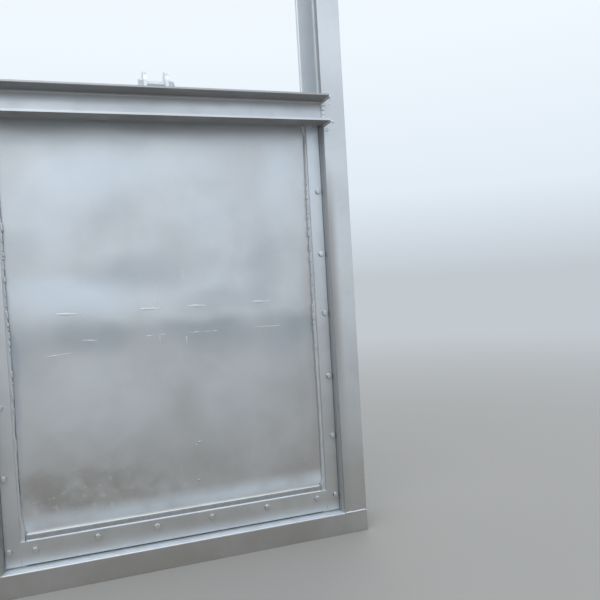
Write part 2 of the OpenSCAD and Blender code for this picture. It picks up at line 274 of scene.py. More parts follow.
class Finish:
    """One procedural material, built from the gate's own coordinates in metres."""

    def __init__(self, name):
        self.paint = bpy.context.scene.gate_paint
        self.material = bpy.data.materials.new(name)
        self.material.use_nodes = True
        self.nodes = self.material.node_tree.nodes
        self.links = self.material.node_tree.links
        self.nodes.clear()
        self.shader = self.node("BsdfPrincipled")
        self.output = self.node("OutputMaterial", {0: self.shader.outputs[0]})
        self.place = self.node("TexCoord").outputs["Object"]
        self.placed = self.parts(self.place)
        self.facing = self.parts(self.node("NewGeometry").outputs["Normal"])
        self.aside = self.math("ABSOLUTE", self.placed["X"])

    def fill(self, socket, value):
        if isinstance(value, bpy.types.NodeSocket):
            self.links.new(value, socket)
        else:
            socket.default_value = value

    def node(self, kind, inputs=None, **settings):
        """Adds a shader node, with its settings by name and what goes into its sockets."""
        made = self.nodes.new("ShaderNode" + kind)
        for name, value in settings.items():
            setattr(made, name, value)
        for key, value in (inputs or {}).items():
            self.fill(made.inputs[key], value)
        return made

    def parts(self, vector):
        return self.node("SeparateXYZ", {0: vector}).outputs

    def noise(self, scale, detail=2.0, stretch=(1, 1, 1), shift=(0, 0, 0), warp=0.0):
        place = self.node("Mapping", {"Vector": self.place, "Scale": stretch, "Location": shift}).outputs[0]
        looks = {"Vector": place, "Scale": scale, "Detail": detail, "Distortion": warp}
        return self.node("TexNoise", looks).outputs[0]

    def ramp(self, value, start, end, low=0.0, high=1.0):
        """A smooth step from low to high while the value goes from start to end."""
        inputs = {0: value, 1: start, 2: end, 3: low, 4: high}
        return self.node("MapRange", inputs, interpolation_type="SMOOTHSTEP").outputs[0]

    def up(self, start, end, low=0.0, high=1.0):
        """A ramp over the height above the sill."""
        return self.ramp(self.placed["Z"], SILL_TOP + start, SILL_TOP + end, low, high)

    def math(self, operation, a, b=0.0):
        return self.node("Math", {0: a, 1: b}, operation=operation).outputs[0]

    def times(self, value, *shares):
        for share in shares:
            value = self.math("MULTIPLY", value, share)
        return value

    def plus(self, value, *others):
        for other in others:
            value = self.math("ADD", value, other)
        return value

    def length(self, vector):
        return self.node("VectorMath", {0: vector}, operation="LENGTH").outputs["Value"]

    def mix(self, share, a, b):
        """The first colour, with a share of the second over it."""
        return self.node("Mix", {0: share, 6: a, 7: b}, data_type="RGBA").outputs[2]

    def drift(self, scale, share):
        """The place, shifted unevenly by a cloudy noise."""
        cloud = self.node("TexNoise", {"Vector": self.place, "Scale": scale}).outputs[1]
        inputs = {0: cloud, 1: (share, 0.0, share), 2: self.place}
        return self.node("VectorMath", inputs, operation="MULTIPLY_ADD").outputs[0]

    def spot(self, place, across, up, wide, high):
        """One in the middle of an oval spot on the front, and nought outside it."""
        shift = (-across / wide, 0, -up / high)
        inputs = {"Vector": place, "Scale": (1 / wide, 0, 1 / high), "Location": shift}
        return self.ramp(self.length(self.node("Mapping", inputs).outputs[0]), 1.25, 0.15)

    def bump(self, height, distance, before=None):
        inputs = {"Strength": 1.0, "Distance": distance, "Height": height}
        if before is not None:
            inputs["Normal"] = before
        return self.node("Bump", inputs).outputs[0]

    def set(self, **sockets):
        for name, value in sockets.items():
            self.fill(self.shader.inputs[name.replace("_", " ")], value)


def tone(colour, level=1.0):
    """A colour, lighter or darker, with the fourth value that sockets want."""
    return (*(part * level for part in colour), 1.0)


# Settings

COLOUR = {"subtype": "COLOR", "size": 3, "min": 0, "max": 1}


class GatePaint(bpy.types.PropertyGroup):
    """Colours of the gate and of the light and shade painted on it, as linear values."""

    silver: bpy.props.FloatVectorProperty(
        name="Aluminium paint", description="Colour of the sprayed paint",
        default=(0.71, 0.73, 0.75), **COLOUR)
    # Painted sky light: the pale bluish colour laid on faces that look up, on high parts and in the plate's
    # lighter clouds; darker tones of it make painted shade
    sky_light: bpy.props.FloatVectorProperty(
        name="Dry spray", description="Colour of the dry spray that settles on what faces up",
        default=(0.79, 0.86, 0.93), **COLOUR)
    # Painted shade and stains: the dark warm colour laid under flanges, beside the opening, on bolt sides
    # and in the plate's darker clouds, and as stains at the plate's foot
    shade_and_stain: bpy.props.FloatVectorProperty(
        name="Thin paint", description="Colour where the spray hardly reached, as under the flanges",
        default=(0.31, 0.295, 0.28), **COLOUR)
    # Warm grey of the grime near the sill, which also serves as painted shade towards the bottom and inside
    # the channels
    dust_and_shade: bpy.props.FloatVectorProperty(
        name="Dust", description="Colour of the dust near the sill",
        default=(0.42, 0.392, 0.345), **COLOUR)
    rubber: bpy.props.FloatVectorProperty(
        name="Rubber", description="Colour of the bare seal rubber",
        default=(0.10, 0.10, 0.10), **COLOUR)
    olive: bpy.props.FloatVectorProperty(
        name="Old rubber", description="Colour of the rubber that shows through near its top",
        default=(0.52, 0.52, 0.40), **COLOUR)
    shoe: bpy.props.FloatVectorProperty(
        name="Slide shoe", description="Colour of the bare metal of the slide shoes",
        default=(0.42, 0.41, 0.39), **COLOUR)
    floor: bpy.props.FloatVectorProperty(
        name="Floor", description="Colour of the plain floor",
        default=(0.36, 0.352, 0.34), **COLOUR)
    horizon: bpy.props.FloatVectorProperty(
        name="Horizon", description="Colour of the studio's background at eye level",
        default=(0.54, 0.585, 0.63), **COLOUR)


class GateSizes(bpy.types.PropertyGroup):
    """Sizes of what is added to the gate."""

    edge_round: bpy.props.FloatProperty(
        name="Edge rounding", description="Radius of the edges of the rolled steel",
        subtype="DISTANCE", default=0.0014, min=0.0002, max=0.003)
    strip_round: bpy.props.FloatProperty(
        name="Strip edge rounding", description="Radius of the edges of the clamp strips",
        subtype="DISTANCE", default=0.0010, min=0.0002, max=0.002)
    plate_cell: bpy.props.FloatProperty(
        name="Plate cell", description="Size of the cells of the face plate's mesh",
        subtype="DISTANCE", default=0.009, min=0.005, max=0.03)
    plate_ridge: bpy.props.FloatProperty(
        name="Plate ridge", description="How far the welds behind it push the face plate out",
        subtype="DISTANCE", default=0.0024, min=0.0, max=0.004)
    lip_stray: bpy.props.FloatProperty(
        name="Rubber stray", description="How unevenly the edge of the rubber is cut",
        subtype="DISTANCE", default=0.0012, min=0.0, max=0.003)
    bolt_across: bpy.props.FloatProperty(
        name="Bolt head", description="Width across the flats of a strip bolt's head",
        subtype="DISTANCE", default=0.012, min=0.006, max=0.02)
    weld_size: bpy.props.FloatProperty(
        name="Weld size", description="Radius of a weld bead",
        subtype="DISTANCE", default=0.0038, min=0.001, max=0.006)


# Materials

def silver_paint(name, seed, metal=0.82, cloud_level=0.88, gloss=0.36, lit=1.0, grain=1.0, coat=None):
    """Sprayed aluminium paint: cloudy and a little rough, with painted sky light on faces that look up and
    painted shade on undersides.

    A coat is a function that changes the colour before the painted sky light of the top faces and the
    painted shade of the undersides are added.
    """
    f = Finish(name)
    silver = f.paint.silver
    dust_and_shade = f.paint.dust_and_shade
    clouds = f.noise(2.6, 3.0, shift=(seed, 3.1, 0.7), warp=0.4)
    patches = f.noise(9.0, 3.0, shift=(0.4, seed, 2.7), warp=0.2)
    mottle = f.noise(38.0, 4.0, shift=(1.7, seed, 0.2))
    speck = f.noise(520.0, 1.0, shift=(seed, 0.4, 2.2))
    runs = f.noise(5.0, 3.0, stretch=(4, 4, 0.9), shift=(0.3, seed, 5.0))
    patterns = (
        (clouds, 0.34, 0.66, 1.0, tone(silver, cloud_level * lit)),
        (patches, 0.42, 0.72, 0.30, tone(silver, 0.72 * lit)),
        (mottle, 0.45, 0.75, 0.12 * grain, tone(silver, 0.66 * lit)),
        (runs, 0.52, 0.80, 0.10, tone(dust_and_shade, 1.2)),
        (speck, 0.67, 0.74, 0.20 * grain, tone(silver, 0.55)),
    )
    colour = tone(silver, lit)
    for pattern, start, end, share, tint in patterns:
        colour = f.mix(f.ramp(pattern, start, end, 0.0, share), colour, tint)
    # Towards the bottom the paint turns a darker warm grey, partly grime and partly painted shade
    low_dust_and_shade = f.times(f.up(0.62, -0.10, 0.0, 0.66), f.ramp(patches, 0.3, 0.7, 0.6, 1.0))
    colour = f.mix(low_dust_and_shade, colour, tone(dust_and_shade))
    # Painted shade: faces inside the channels beside the opening that look towards the middle are darker
    inward = f.ramp(f.times(f.facing["X"], f.placed["X"]), -0.06, -0.38, 0.0, 0.75)
    groove_shade = f.times(inward, f.ramp(f.aside, OPENING_EDGE + 0.032, OPENING_EDGE + 0.040))
    colour = f.mix(groove_shade, colour, tone(dust_and_shade, 0.62))
    if coat is not None:
        colour = coat(f, colour)
    # Painted sky light: faces that look up take the pale bluish colour, or a plainer silver on the highest
    # parts
    sky_lit_top = f.times(f.ramp(f.facing["Z"], 0.30, 0.85), f.ramp(mottle, 0.2, 0.6, 0.8, 1.0))
    high = f.up(1.15, 1.6)
    colour = f.mix(sky_lit_top, colour, f.mix(high, tone(f.paint.sky_light), tone(silver, 0.86)))
    # Painted shade: faces that look down take the dark warm colour
    under = f.times(f.ramp(f.facing["Z"], -0.12, -0.70), f.ramp(patches, 0.25, 0.6, 0.8, 1.0))
    colour = f.mix(under, colour, tone(f.paint.shade_and_stain))
    rough = f.plus(f.ramp(clouds, 0.3, 0.7, gloss, gloss + 0.06),
                   f.ramp(mottle, 0.3, 0.75, 0.0, 0.08 * grain),
                   f.times(under, 0.22), f.times(groove_shade, 0.45))
    chalky = f.math("SUBTRACT", 0.42, f.times(high, 0.32))
    bare = f.math("SUBTRACT", metal, f.times(sky_lit_top, chalky))
    peel = f.bump(f.noise(300.0, 2.0), 0.00005 * grain)
    waves = f.bump(f.noise(17.0, 2.0, shift=(seed, 1.0, 1.0)), 0.0005, peel)
    f.set(Base_Color=colour, Roughness=rough, Metallic=bare, Normal=waves)
    return f.material


def hooded(low, high, sky_light=0.62):
    """A coat with painted sky light high up and a painted reflection at the foot, and plain silver on the
    front above a height.
    """
    def coat(f, colour):
        # Painted sky light on the upper parts
        colour = f.mix(f.up(0.50, 0.88, 0.0, sky_light), colour, tone(f.paint.sky_light, 1.04))
        # Painted reflection of the sill on the lowest parts
        colour = f.mix(f.up(0.034, 0.008, 0.0, 0.42), colour, tone(f.paint.sky_light, 0.95))
        ragged = f.plus(f.placed["Z"], f.times(f.noise(14.0, 2.0, stretch=(1, 1, 0.3)), 0.022))
        above = f.ramp(ragged, SILL_TOP + low, SILL_TOP + high, 0.0, 0.85)
        under_lugs = f.up(1.062, 1.040)
        front = f.ramp(f.placed["Y"], PLATE_HIGH.y + 0.003, PLATE_LOW.y)
        return f.mix(f.times(above, under_lugs, front), colour, tone(f.paint.silver, 0.98))
    return coat


def frame_coat(f, colour):
    """Painted sky light high up, painted shade beside the opening and under the crossbar's top flange, and
    a darker tone towards the sill.
    """
    shade_and_stain_tone = tone(f.paint.shade_and_stain, 1.1)
    bar_top = BAR_HIGH.z
    # Painted shade on the posts' fronts beside the opening, below the crossbar
    beside = f.times(f.ramp(f.aside, OPENING_EDGE + 0.026, OPENING_EDGE - 0.002, 0.0, 0.80),
                     f.ramp(f.facing["Y"], -0.5, -0.9), f.up(0.93, 0.72), f.up(0.20, 0.50, 0.30, 1.0))
    # Painted shade on the crossbar's web just under its top flange
    corner = f.times(f.ramp(f.placed["Z"], bar_top - 0.034, bar_top - 0.012, 0.0, 0.60),
                     f.ramp(f.placed["Z"], bar_top + 0.02, bar_top + 0.002),
                     f.ramp(f.aside, OPENING_EDGE + 0.004, OPENING_EDGE - 0.006))
    # Painted sky light on the upper frame
    colour = f.mix(f.up(0.55, 1.10, 0.0, 0.30), colour, tone(f.paint.sky_light))
    colour = f.mix(corner, f.mix(beside, colour, shade_and_stain_tone), shade_and_stain_tone)
    # Darker towards the sill, partly grime and partly painted shade
    return f.mix(f.up(0.30, 0.0, 0.0, 0.30), colour, tone(f.paint.dust_and_shade, 0.80))


def plate_coat(f, colour):
    """Painted light and shade on the face plate: lighter and darker clouds, and both its ends."""
    sky_light = f.paint.sky_light
    silver = f.paint.silver
    shade_and_stain_tone = f.paint.shade_and_stain
    bare = colour
    drifted = f.drift(4.0, 0.10)
    # Painted highlights and painted shade: each cloud lightens or darkens the plate
    for across, up, wide, high, strength in PLATE_LIT_AND_SHADED_CLOUDS:
        if strength > 0:
            cloud = tone(sky_light, 0.98) if up > 0.25 else tone(silver, 0.98)
        else:
            cloud = tone(sky_light, 0.54) if up > 0.42 else tone(shade_and_stain_tone, 1.35)
        share = f.spot(drifted, across + 0.05, SILL_TOP + up + 0.05, wide, high)
        colour = f.mix(f.times(share, abs(strength)), colour, cloud)
    level = f.parts(drifted)["Z"]
    uneven = f.noise(5.5, 1.0, stretch=(1, 1, 0.6), shift=(2.6, 0, 4.0))
    # Painted shade: a darker uneven stretch just below the middle beam's welds
    mid_shade_band = f.times(f.ramp(level, SILL_TOP + 0.588, SILL_TOP + 0.548, 0.0, 0.66),
                   f.ramp(level, SILL_TOP + 0.430, SILL_TOP + 0.548), f.ramp(uneven, 0.36, 0.60))
    # Darker warm patches towards the left foot, partly stains and partly painted shade
    foot = f.times(f.up(0.25, 0.13), f.ramp(f.placed["X"], 0.10, -0.22, 0.25, 1.0))
    stain = f.ramp(f.noise(19.0, 5.0, shift=(0, 0, 6.0), warp=0.3), 0.38, 0.68, 0.0, 0.60)
    fleck = f.ramp(f.noise(52.0, 3.0, shift=(3.0, 0, 1.0)), 0.58, 0.70, 0.0, 0.4)
    # Painted highlight: a pale bluish glow on the plate just above the bottom rubber
    edge = f.times(f.up(0.120, 0.082, 0.0, 0.95), f.ramp(f.noise(11.0, 2.0), 0.3, 0.6, 0.6, 1.0))
    for share, tint in ((mid_shade_band, tone(sky_light, 0.50)), (f.times(foot, stain), tone(shade_and_stain_tone, 1.15)),
                        (f.times(foot, fleck), tone(silver, 1.05)), (edge, tone(sky_light, 1.07))):
        colour = f.mix(share, colour, tint)
    colour = hooded(0.948, 0.966, 0.0)(f, colour)
    return f.mix(f.ramp(f.facing["Y"], 0.2, -0.2), bare, colour)


def bolt_side_shade(f, colour):
    """Painted shade on the sides of a bolt."""
    side = f.ramp(f.math("ABSOLUTE", f.facing["Y"]), 0.90, 0.40, 0.0, 0.9)
    return f.mix(side, colour, tone(f.paint.shade_and_stain, 0.45))


def seal_rubber(name, coat_low, coat_high):
    """Seal rubber under a broken coat of the same paint, which its cut edges lack, above all on the left; a
    bulb is darker towards its front.
    """
    f = Finish(name)
    patchy = f.noise(70.0, 4.0, stretch=(1, 1, 0.4))
    fine = f.noise(330.0, 2.0)
    sideways = f.math("ABSOLUTE", f.facing["X"])
    cut = f.times(f.ramp(sideways, 0.45, 0.85), f.ramp(patchy, 0.42, 0.60, 0.0, 0.8),
                  f.ramp(f.placed["X"], -0.1, 0.1, 1.0, 0.15))
    coat = f.times(f.ramp(patchy, 0.28, 0.60, coat_low, coat_high), f.math("SUBTRACT", 1.0, cut))
    worn = f.mix(f.ramp(fine, 0.3, 0.7), tone(f.paint.rubber), tone(f.paint.rubber, 1.5))
    strip_side = SIDE_STRIP_HIGH.x
    old = f.times(f.up(0.83, 0.95), f.ramp(patchy, 0.40, 0.60, 0.10, 0.70),
                  f.ramp(f.aside, strip_side - 0.004, strip_side, 1.0, 0.0))
    # The bulb's front, in the gap beside the strip, is darker: partly rubber that shows through and partly
    # painted shade
    bulb = f.ramp(f.placed["Y"], SIDE_STRIP_HIGH.y, SIDE_STRIP_LOW.y - 0.006, 0.0, 0.62)
    colour = f.mix(coat, worn, tone(f.paint.silver, 0.86))
    colour = f.mix(old, colour, tone(f.paint.olive))
    colour = f.mix(bulb, colour, tone(f.paint.silver, 0.30))
    f.set(Base_Color=colour, Roughness=f.ramp(coat, 0.0, 1.0, 0.62, 0.42),
          Metallic=f.times(coat, 0.72), Normal=f.bump(f.noise(300.0, 3.0), 0.0002))
    return f.material


def shoe_metal():
    """Cast slide shoe with light machining marks."""
    f = Finish("shoe_metal")
    grain = f.noise(240.0, 4.0)
    marks = f.noise(500.0, 1.0, stretch=(1, 1, 0.04))
    colour = f.mix(f.ramp(grain, 0.35, 0.7), tone(f.paint.shoe), tone(f.paint.shoe, 0.7))
    f.set(Base_Color=colour, Roughness=f.ramp(marks, 0.3, 0.7, 0.35, 0.5), Metallic=0.9,
          Normal=f.bump(marks, 0.0001))
    return f.material


# Weld beads

def weld_bead(shape, start, end, size, dice, flat=0.8, lump=0.16, swell=0.0, beat=0.011):
    """A rippled bead along a line, half sunk in the steel, thinner at its two ends.

    With some swell it is a row of blobs, a beat apart.
    """
    start = Vector(start)
    run = Vector(end) - start
    length = run.length
    axis = run.normalized()
    side = axis.orthogonal().normalized()
    other = axis.cross(side)
    pitch = 0.0016
    sides = 8
    steps = max(5, int(length / pitch))
    wander = dice.uniform(0.0, 50.0)
    rings = []
    for k in range(steps + 1):
        t = k / steps
        ripple = 0.90 + 0.11 * ((k * 0.34) % 1.0) + lump * noise.noise(Vector((wander, k * 0.29, 0)))
        ripple += swell * (abs(math.sin(math.pi * length * t / beat)) - 0.45)
        taper = min(1.0, 0.30 + 0.9 * min(t, 1.0 - t) * length / size)
        radius = size * ripple * taper
        drift = size * 0.28 * noise.noise(Vector((k * 0.11, wander, 2.0)))
        centre = start + axis * (length * t) + side * drift
        rings.append([
            centre + side * (math.cos(a) * radius) + other * (math.sin(a) * radius * flat)
            for a in (i * math.tau / sides for i in range(sides))
        ])
    shape.rings(rings)


class Welds(Shape):
    """Weld beads of one usual size, with the dice that make them uneven."""

    def __init__(self, size, seed):
        super().__init__()
        self.size = size
        self.dice = random.Random(seed)

    def bead(self, start, end, share=1.0, **looks):
        weld_bead(self, start, end, self.size * share, self.dice, **looks)

    def pair(self, start, end, share=1.0, **looks):
        """The same bead at the right and at the left of the gate."""
        for side in (1, -1):
            self.bead((side * start[0], *start[1:]), (side * end[0], *end[1:]), share, **looks)


# Stage

def add_camera(scene):
    """The photograph's view: a little left of the middle, turned right and tilted a few degrees."""
    frame_pixels = 600
    focal_pixels = 640.5
    turn_right = math.radians(18.85)
    look_down = math.radians(1.485)
    roll = math.radians(3.329)
    camera = bpy.data.cameras.new("camera")
    camera.sensor_width = 36.0
    camera.lens = camera.sensor_width * focal_pixels / frame_pixels
    view = bpy.data.objects.new("camera", camera)
    view.location = (-0.2021, FRONT - 1.502, SILL_TOP + 0.5902)
    aim = Matrix.Rotation(-turn_right, 3, "Z") @ Matrix.Rotation(math.pi / 2 - look_down, 3, "X")
    view.rotation_mode = "QUATERNION"
    view.rotation_quaternion = aim.to_quaternion() @ Quaternion((0, 0, 1), -roll)
    scene.collection.objects.link(view)
    scene.camera = view


def add_world(scene):
    """A pale sky that grows lighter upwards."""
    world = bpy.data.worlds.new("soft_sky")
    world.use_nodes = True
    nodes = world.node_tree.nodes
    links = world.node_tree.links
    parts = nodes.new("ShaderNodeSeparateXYZ")
    ramp = nodes.new("ShaderNodeValToRGB")
    links.new(nodes.new("ShaderNodeTexCoord").outputs["Generated"], parts.inputs[0])
    links.new(parts.outputs["Z"], ramp.inputs[0])
    links.new(ramp.outputs[0], nodes["Background"].inputs["Color"])
    elements = ramp.color_ramp.elements
    elements.remove(elements[1])
    elements[0].color = tone(scene.gate_paint.horizon)
    for position, colour in ((0.04, (0.60, 0.66, 0.72)), (0.13, (0.76, 0.84, 0.92)),
                             (0.34, (0.87, 0.94, 1.0)), (1.0, (0.92, 0.96, 1.0))):
        elements.new(position).color = tone(colour)
    scene.world = world


def add_floor(scene):
    """A round floor that fades into the background far from the gate."""
    reach = 60.0
    corners = 96
    f = Finish("floor")
    cloudy = f.ramp(f.noise(1.5, 2.0), 0.3, 0.7, 0.0, 0.06)
    colour = f.mix(cloudy, tone(f.paint.floor), tone(f.paint.floor, 0.9))
    f.set(Base_Color=colour, Roughness=0.95, Specular_IOR_Level=0.1)
    far_glow = f.node("Emission", {0: tone(f.paint.horizon)}).outputs[0]
    far = f.ramp(f.length(f.place), 0.9, 6.0)
    blend = f.node("MixShader", {0: far, 1: f.shader.outputs[0], 2: far_glow})
    f.fill(f.output.inputs[0], blend.outputs[0])
    mesh = bpy.data.meshes.new("floor")
    rim = [(reach * math.cos(a), reach * math.sin(a), SILL_LOW.z - 0.0005)
           for a in (math.tau * k / corners for k in range(corners))]
    mesh.from_pydata(rim, [], [tuple(range(corners))])
    mesh.materials.append(f.material)
    floor = bpy.data.objects.new("floor", mesh)
    scene.collection.objects.link(floor)


def add_lamps(scene):
    """Large soft boxes: high in front, and lower behind for the back of the gate."""
    middle = Vector((0, FRONT, SILL_TOP + 0.5))
    boxes = (("key_light", (-1.15, -3.0, 3.9), 3.2, 56.0), ("back_light", (2.2, 3.4, 3.6), 2.8, 44.0))
    for name, place, size, power in boxes:
        lamp = bpy.data.lights.new(name, "AREA")
        lamp.shape = "SQUARE"
        lamp.size = size
        lamp.energy = power
        box = bpy.data.objects.new(name, lamp)
        box.location = place
        box.rotation_mode = "QUATERNION"
        box.rotation_quaternion = (middle - box.location).to_track_quat("-Z", "Y")
        scene.collection.objects.link(box)


class SLUICE_OT_stage(bpy.types.Operator):
    """Sets up the camera, the plain floor and the soft light"""

    bl_idname = "sluice.stage"
    bl_label = "Stage"

    def execute(self, context):
        scene = context.scene
        scene.view_settings.view_transform = "Standard"
        add_camera(scene)
        add_world(scene)
        add_floor(scene)
        add_lamps(scene)
        return {"FINISHED"}


# Steel and face plate

class SLUICE_OT_steel(bpy.types.Operator):
    """Paints the steel of the frame and the leaf, and rounds its edges"""

    bl_idname = "sluice.steel"
    bl_label = "Painted steel"

    def execute(self, context):
        sizes = context.scene.gate_sizes
        frame_paint = silver_paint("frame_paint", 1.3, cloud_level=0.82, coat=frame_coat)
        leaf_paint = silver_paint("leaf_paint", 7.9, lit=0.95, coat=hooded(0.978, 0.992))
        shoes = shoe_metal()
        for name in FRAME_NODES + LEAF_NODES:
            node = frame["nodes"][name]
            paint = frame_paint if name in FRAME_NODES else leaf_paint
            node.data.materials.clear()
            node.data.materials.append(shoes if "shoe" in name else paint)
            bevel(node, sizes.strip_round if "strip" in name else sizes.edge_round)
        return {"FINISHED"}


def plate_relief(x, z, ridge):
    """How far the plate's front stands out at a place."""
    middle = (MIDDLE_BEAM_LOW.z + MIDDLE_BEAM_HIGH.z) / 2
    beam_reach = 0.062
    rib_reach = 0.06
    rib_share = 0.22
    height = ridge * math.exp(-((z - middle) / beam_reach) ** 2)
    height += ridge * rib_share * math.exp(-(x / rib_reach) ** 2)
    for across, up, radius, depth in BUCKLES:
        away = ((x - across) / radius) ** 2 + ((z - SILL_TOP - up) / radius) ** 2
        height += depth * math.exp(-away)
    height += 0.0007 * noise.noise(Vector((x * 5.0, z * 5.0, 3.3)))
    height += 0.00022 * noise.noise(Vector((x * 17.0, z * 17.0, 8.1)))
    return height * open_share(x, z)


def open_share(x, z):
    """One in the open part of the plate, and nought where strips and seals press on it."""
    fade = 0.05
    room = min(SIDE_STRIP_LOW.x - 0.018 - abs(x), z - BOTTOM_STRIP_HIGH.z - 0.014,
               TOP_SEAL_LOW.z - 0.01 - z)
    t = max(0.0, min(1.0, room / fade))
    return t * t * (3 - 2 * t)


def add_marks(ridge):
    """The scorched welds show through the plate as low, broken ridges."""
    shape = Shape()
    dice = random.Random(31)
    for z, runs in MIDDLE_STITCHES.items():
        bold = 1.5 if z == MIDDLE_BEAM_HIGH.z else 0.8
        for start, end in runs:
            tilt = dice.uniform(-0.0015, 0.0015)
            add_mark(shape, (start, z - tilt), (end, z + tilt), ridge, dice, bold)
    start, end, z = LOW_MARK
    add_mark(shape, (start, z - 0.0025), (end, z + 0.0025), ridge, dice, 0.8)
    for x, runs in RIB_STITCHES.items():
        for start, end in runs[2:4]:
            add_mark(shape, (x, SILL_TOP + start), (x, SILL_TOP + end), ridge, dice, 0.65)
    for across, up, radius in PLATE_DROPS:
        z = SILL_TOP + up
        front = PLATE_LOW.y - plate_relief(across, z, ridge)
        shape.spatter(Vector((across, front, z)), radius, flat=0.2)
    paint = silver_paint("mark_paint", 2.6, metal=0.75, gloss=0.38, lit=1.05)
    shape.piece("stitch_marks", paint, "leaf", "leaf_steel")


def add_mark(shape, start, end, ridge, dice, bold):
    """A ridge of uneven height that lies on the plate's front."""
    pitch = 0.0025
    half_width = 0.0028
    rise = 0.00032
    sunk = 0.0004
    steps = int(math.dist(start, end) / pitch)
    along = Vector((end[0] - start[0], 0, end[1] - start[1])).normalized()
    across = Vector((-along.z, 0, along.x))
    wander = dice.uniform(0, 40)
    rings = []
    for k in range(steps + 1):
        t = k / steps
        x = start[0] + (end[0] - start[0]) * t
        z = start[1] + (end[1] - start[1]) * t
        strength = noise.noise(Vector((wander, k * 0.21, 0.5))) + 0.55
        strength = max(0.05, min(1.0, strength)) * min(1.0, 0.2 + 8 * min(t, 1 - t))
        width = half_width * bold * (0.55 + 0.45 * strength)
        height = rise * bold * strength
        base = Vector((x, PLATE_LOW.y - plate_relief(x, z, ridge) + sunk, z))
        base += across * 0.0008 * noise.noise(Vector((wander, k * 0.13, 7.0)))
        rings.append([
            base + across * (math.cos(a) * width) + Vector((0, -math.sin(a) * (height + sunk), 0))
            for a in (math.tau * i / 8 for i in range(8))
        ])
    shape.rings(rings)


class SLUICE_OT_face_plate(bpy.types.Operator):
    """Makes the face plate with the buckles and ridges that welding left in it"""

    bl_idname = "sluice.face_plate"
    bl_label = "Face plate"

    def execute(self, context):
        sizes = context.scene.gate_sizes
        shape = Shape()
        columns = round((PLATE_HIGH.x - PLATE_LOW.x) / sizes.plate_cell)
        rows = round((PLATE_HIGH.z - PLATE_LOW.z) / sizes.plate_cell)
        wide = columns + 1
        for depth in (PLATE_LOW.y, PLATE_HIGH.y):
            for z in spread(PLATE_LOW.z, PLATE_HIGH.z, rows):
                for x in spread(PLATE_LOW.x, PLATE_HIGH.x, columns):
                    relief = plate_relief(x, z, sizes.plate_ridge) if depth == PLATE_LOW.y else 0.0
                    shape.verts.append(Vector((x, depth - relief, z)))
        back = wide * (rows + 1)
        for j in range(rows):
            for i in range(columns):
                a = j * wide + i
                shape.faces.append((a, a + 1, a + 1 + wide, a + wide))
                shape.faces.append((back + a, back + a + wide, back + a + 1 + wide, back + a + 1))
        rim = list(range(columns))
        rim += [j * wide + columns for j in range(rows)]
        rim += [rows * wide + i for i in range(columns, 0, -1)]
        rim += [j * wide for j in range(rows, 0, -1)]
        for k, a in enumerate(rim):
            b = rim[(k + 1) % len(rim)]
            shape.faces.append((a, back + a, back + b, b))
        paint = silver_paint("plate_paint", 5.2, cloud_level=0.90, gloss=0.32, grain=0.35, coat=plate_coat)
        plate = shape.piece("leaf_plate", paint, "leaf", "leaf_steel")
        bevel(plate, sizes.strip_round, 60.0)
        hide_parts("face_plate")
        add_marks(sizes.plate_ridge)
        return {"FINISHED"}


# Rubber seals

# How the side seals are cut, at the right and at the left: seed, widths, and the heights above the sill
# between which sealant is smeared along the cut
CUTS = {1: (2.0, RIGHT_LIP, 0.42, 0.84), -1: (9.0, LEFT_LIP, 0.34, 0.74)}


def cut_edge(z, side, stray):
    """Place of the cut edge across the gate: it follows the listed widths and wavers a little."""
    seed, lip = CUTS[side][:2]
    up = z - SILL_TOP
    width = lip[-1][1]
    for (low, start), (high, end) in zip(lip, lip[1:]):
        if low <= up <= high:
            t = (up - low) / (high - low)
            width = start + (end - start) * t * t * (3 - 2 * t)
    waver = noise.noise(Vector((seed, 5.0, z * 29.0))) + 0.5 * noise.noise(Vector((seed, 8.0, z * 90.0)))
    between = min(1.0, max(0.0, (up - 0.075) / 0.03)) * min(1.0, max(0.0, (0.985 - up) / 0.02))
    return SIDE_STRIP_LOW.x - width + stray * waver * between


def bulb_profile(edge, bulb, radius):
    """Outline of a seal: from the cut edge along its flat front, round the bulb and back."""
    way = 1 if bulb > edge else -1
    back = PLATE_LOW.y
    middle = back - radius
    start = math.pi + math.asin((middle - RUBBER_FRONT) / radius)
    outline = [(edge + way * 0.0010, back), (edge, back - 0.0022)]
    for inward, depth in ((0.0003, 0.0034), (0.0012, 0.0014), (0.0024, 0.0004), (0.0040, 0), (0.012, 0)):
        outline.append((edge + way * inward, RUBBER_FRONT + depth))
    for a in spread(start, math.tau + math.pi / 2, 22):
        outline.append((bulb + way * radius * math.cos(a), middle + radius * math.sin(a)))
    return outline


def side_rubber(rubber, side, stray):
    shape = Shape()
    rings = []
    radius = (PLATE_LOW.y - SIDE_SEAL_LOW.y) / 2
    for z in spread(SIDE_SEAL_LOW.z, SIDE_SEAL_HIGH.z, 210):
        ring = bulb_profile(cut_edge(z, side, stray), SIDE_SEAL_HIGH.x - radius, radius)
        rings.append([Vector((side * x, y, z)) for x, y in ring[::side]])
    shape.rings(rings)
    name = "right_side" if side == 1 else "left_side"
    piece = shape.piece(f"{name}_rubber", rubber, "leaf", "seal_rubber")
    bevel(piece, 0.0008, 60.0)
    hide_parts(f"{name}_seal")


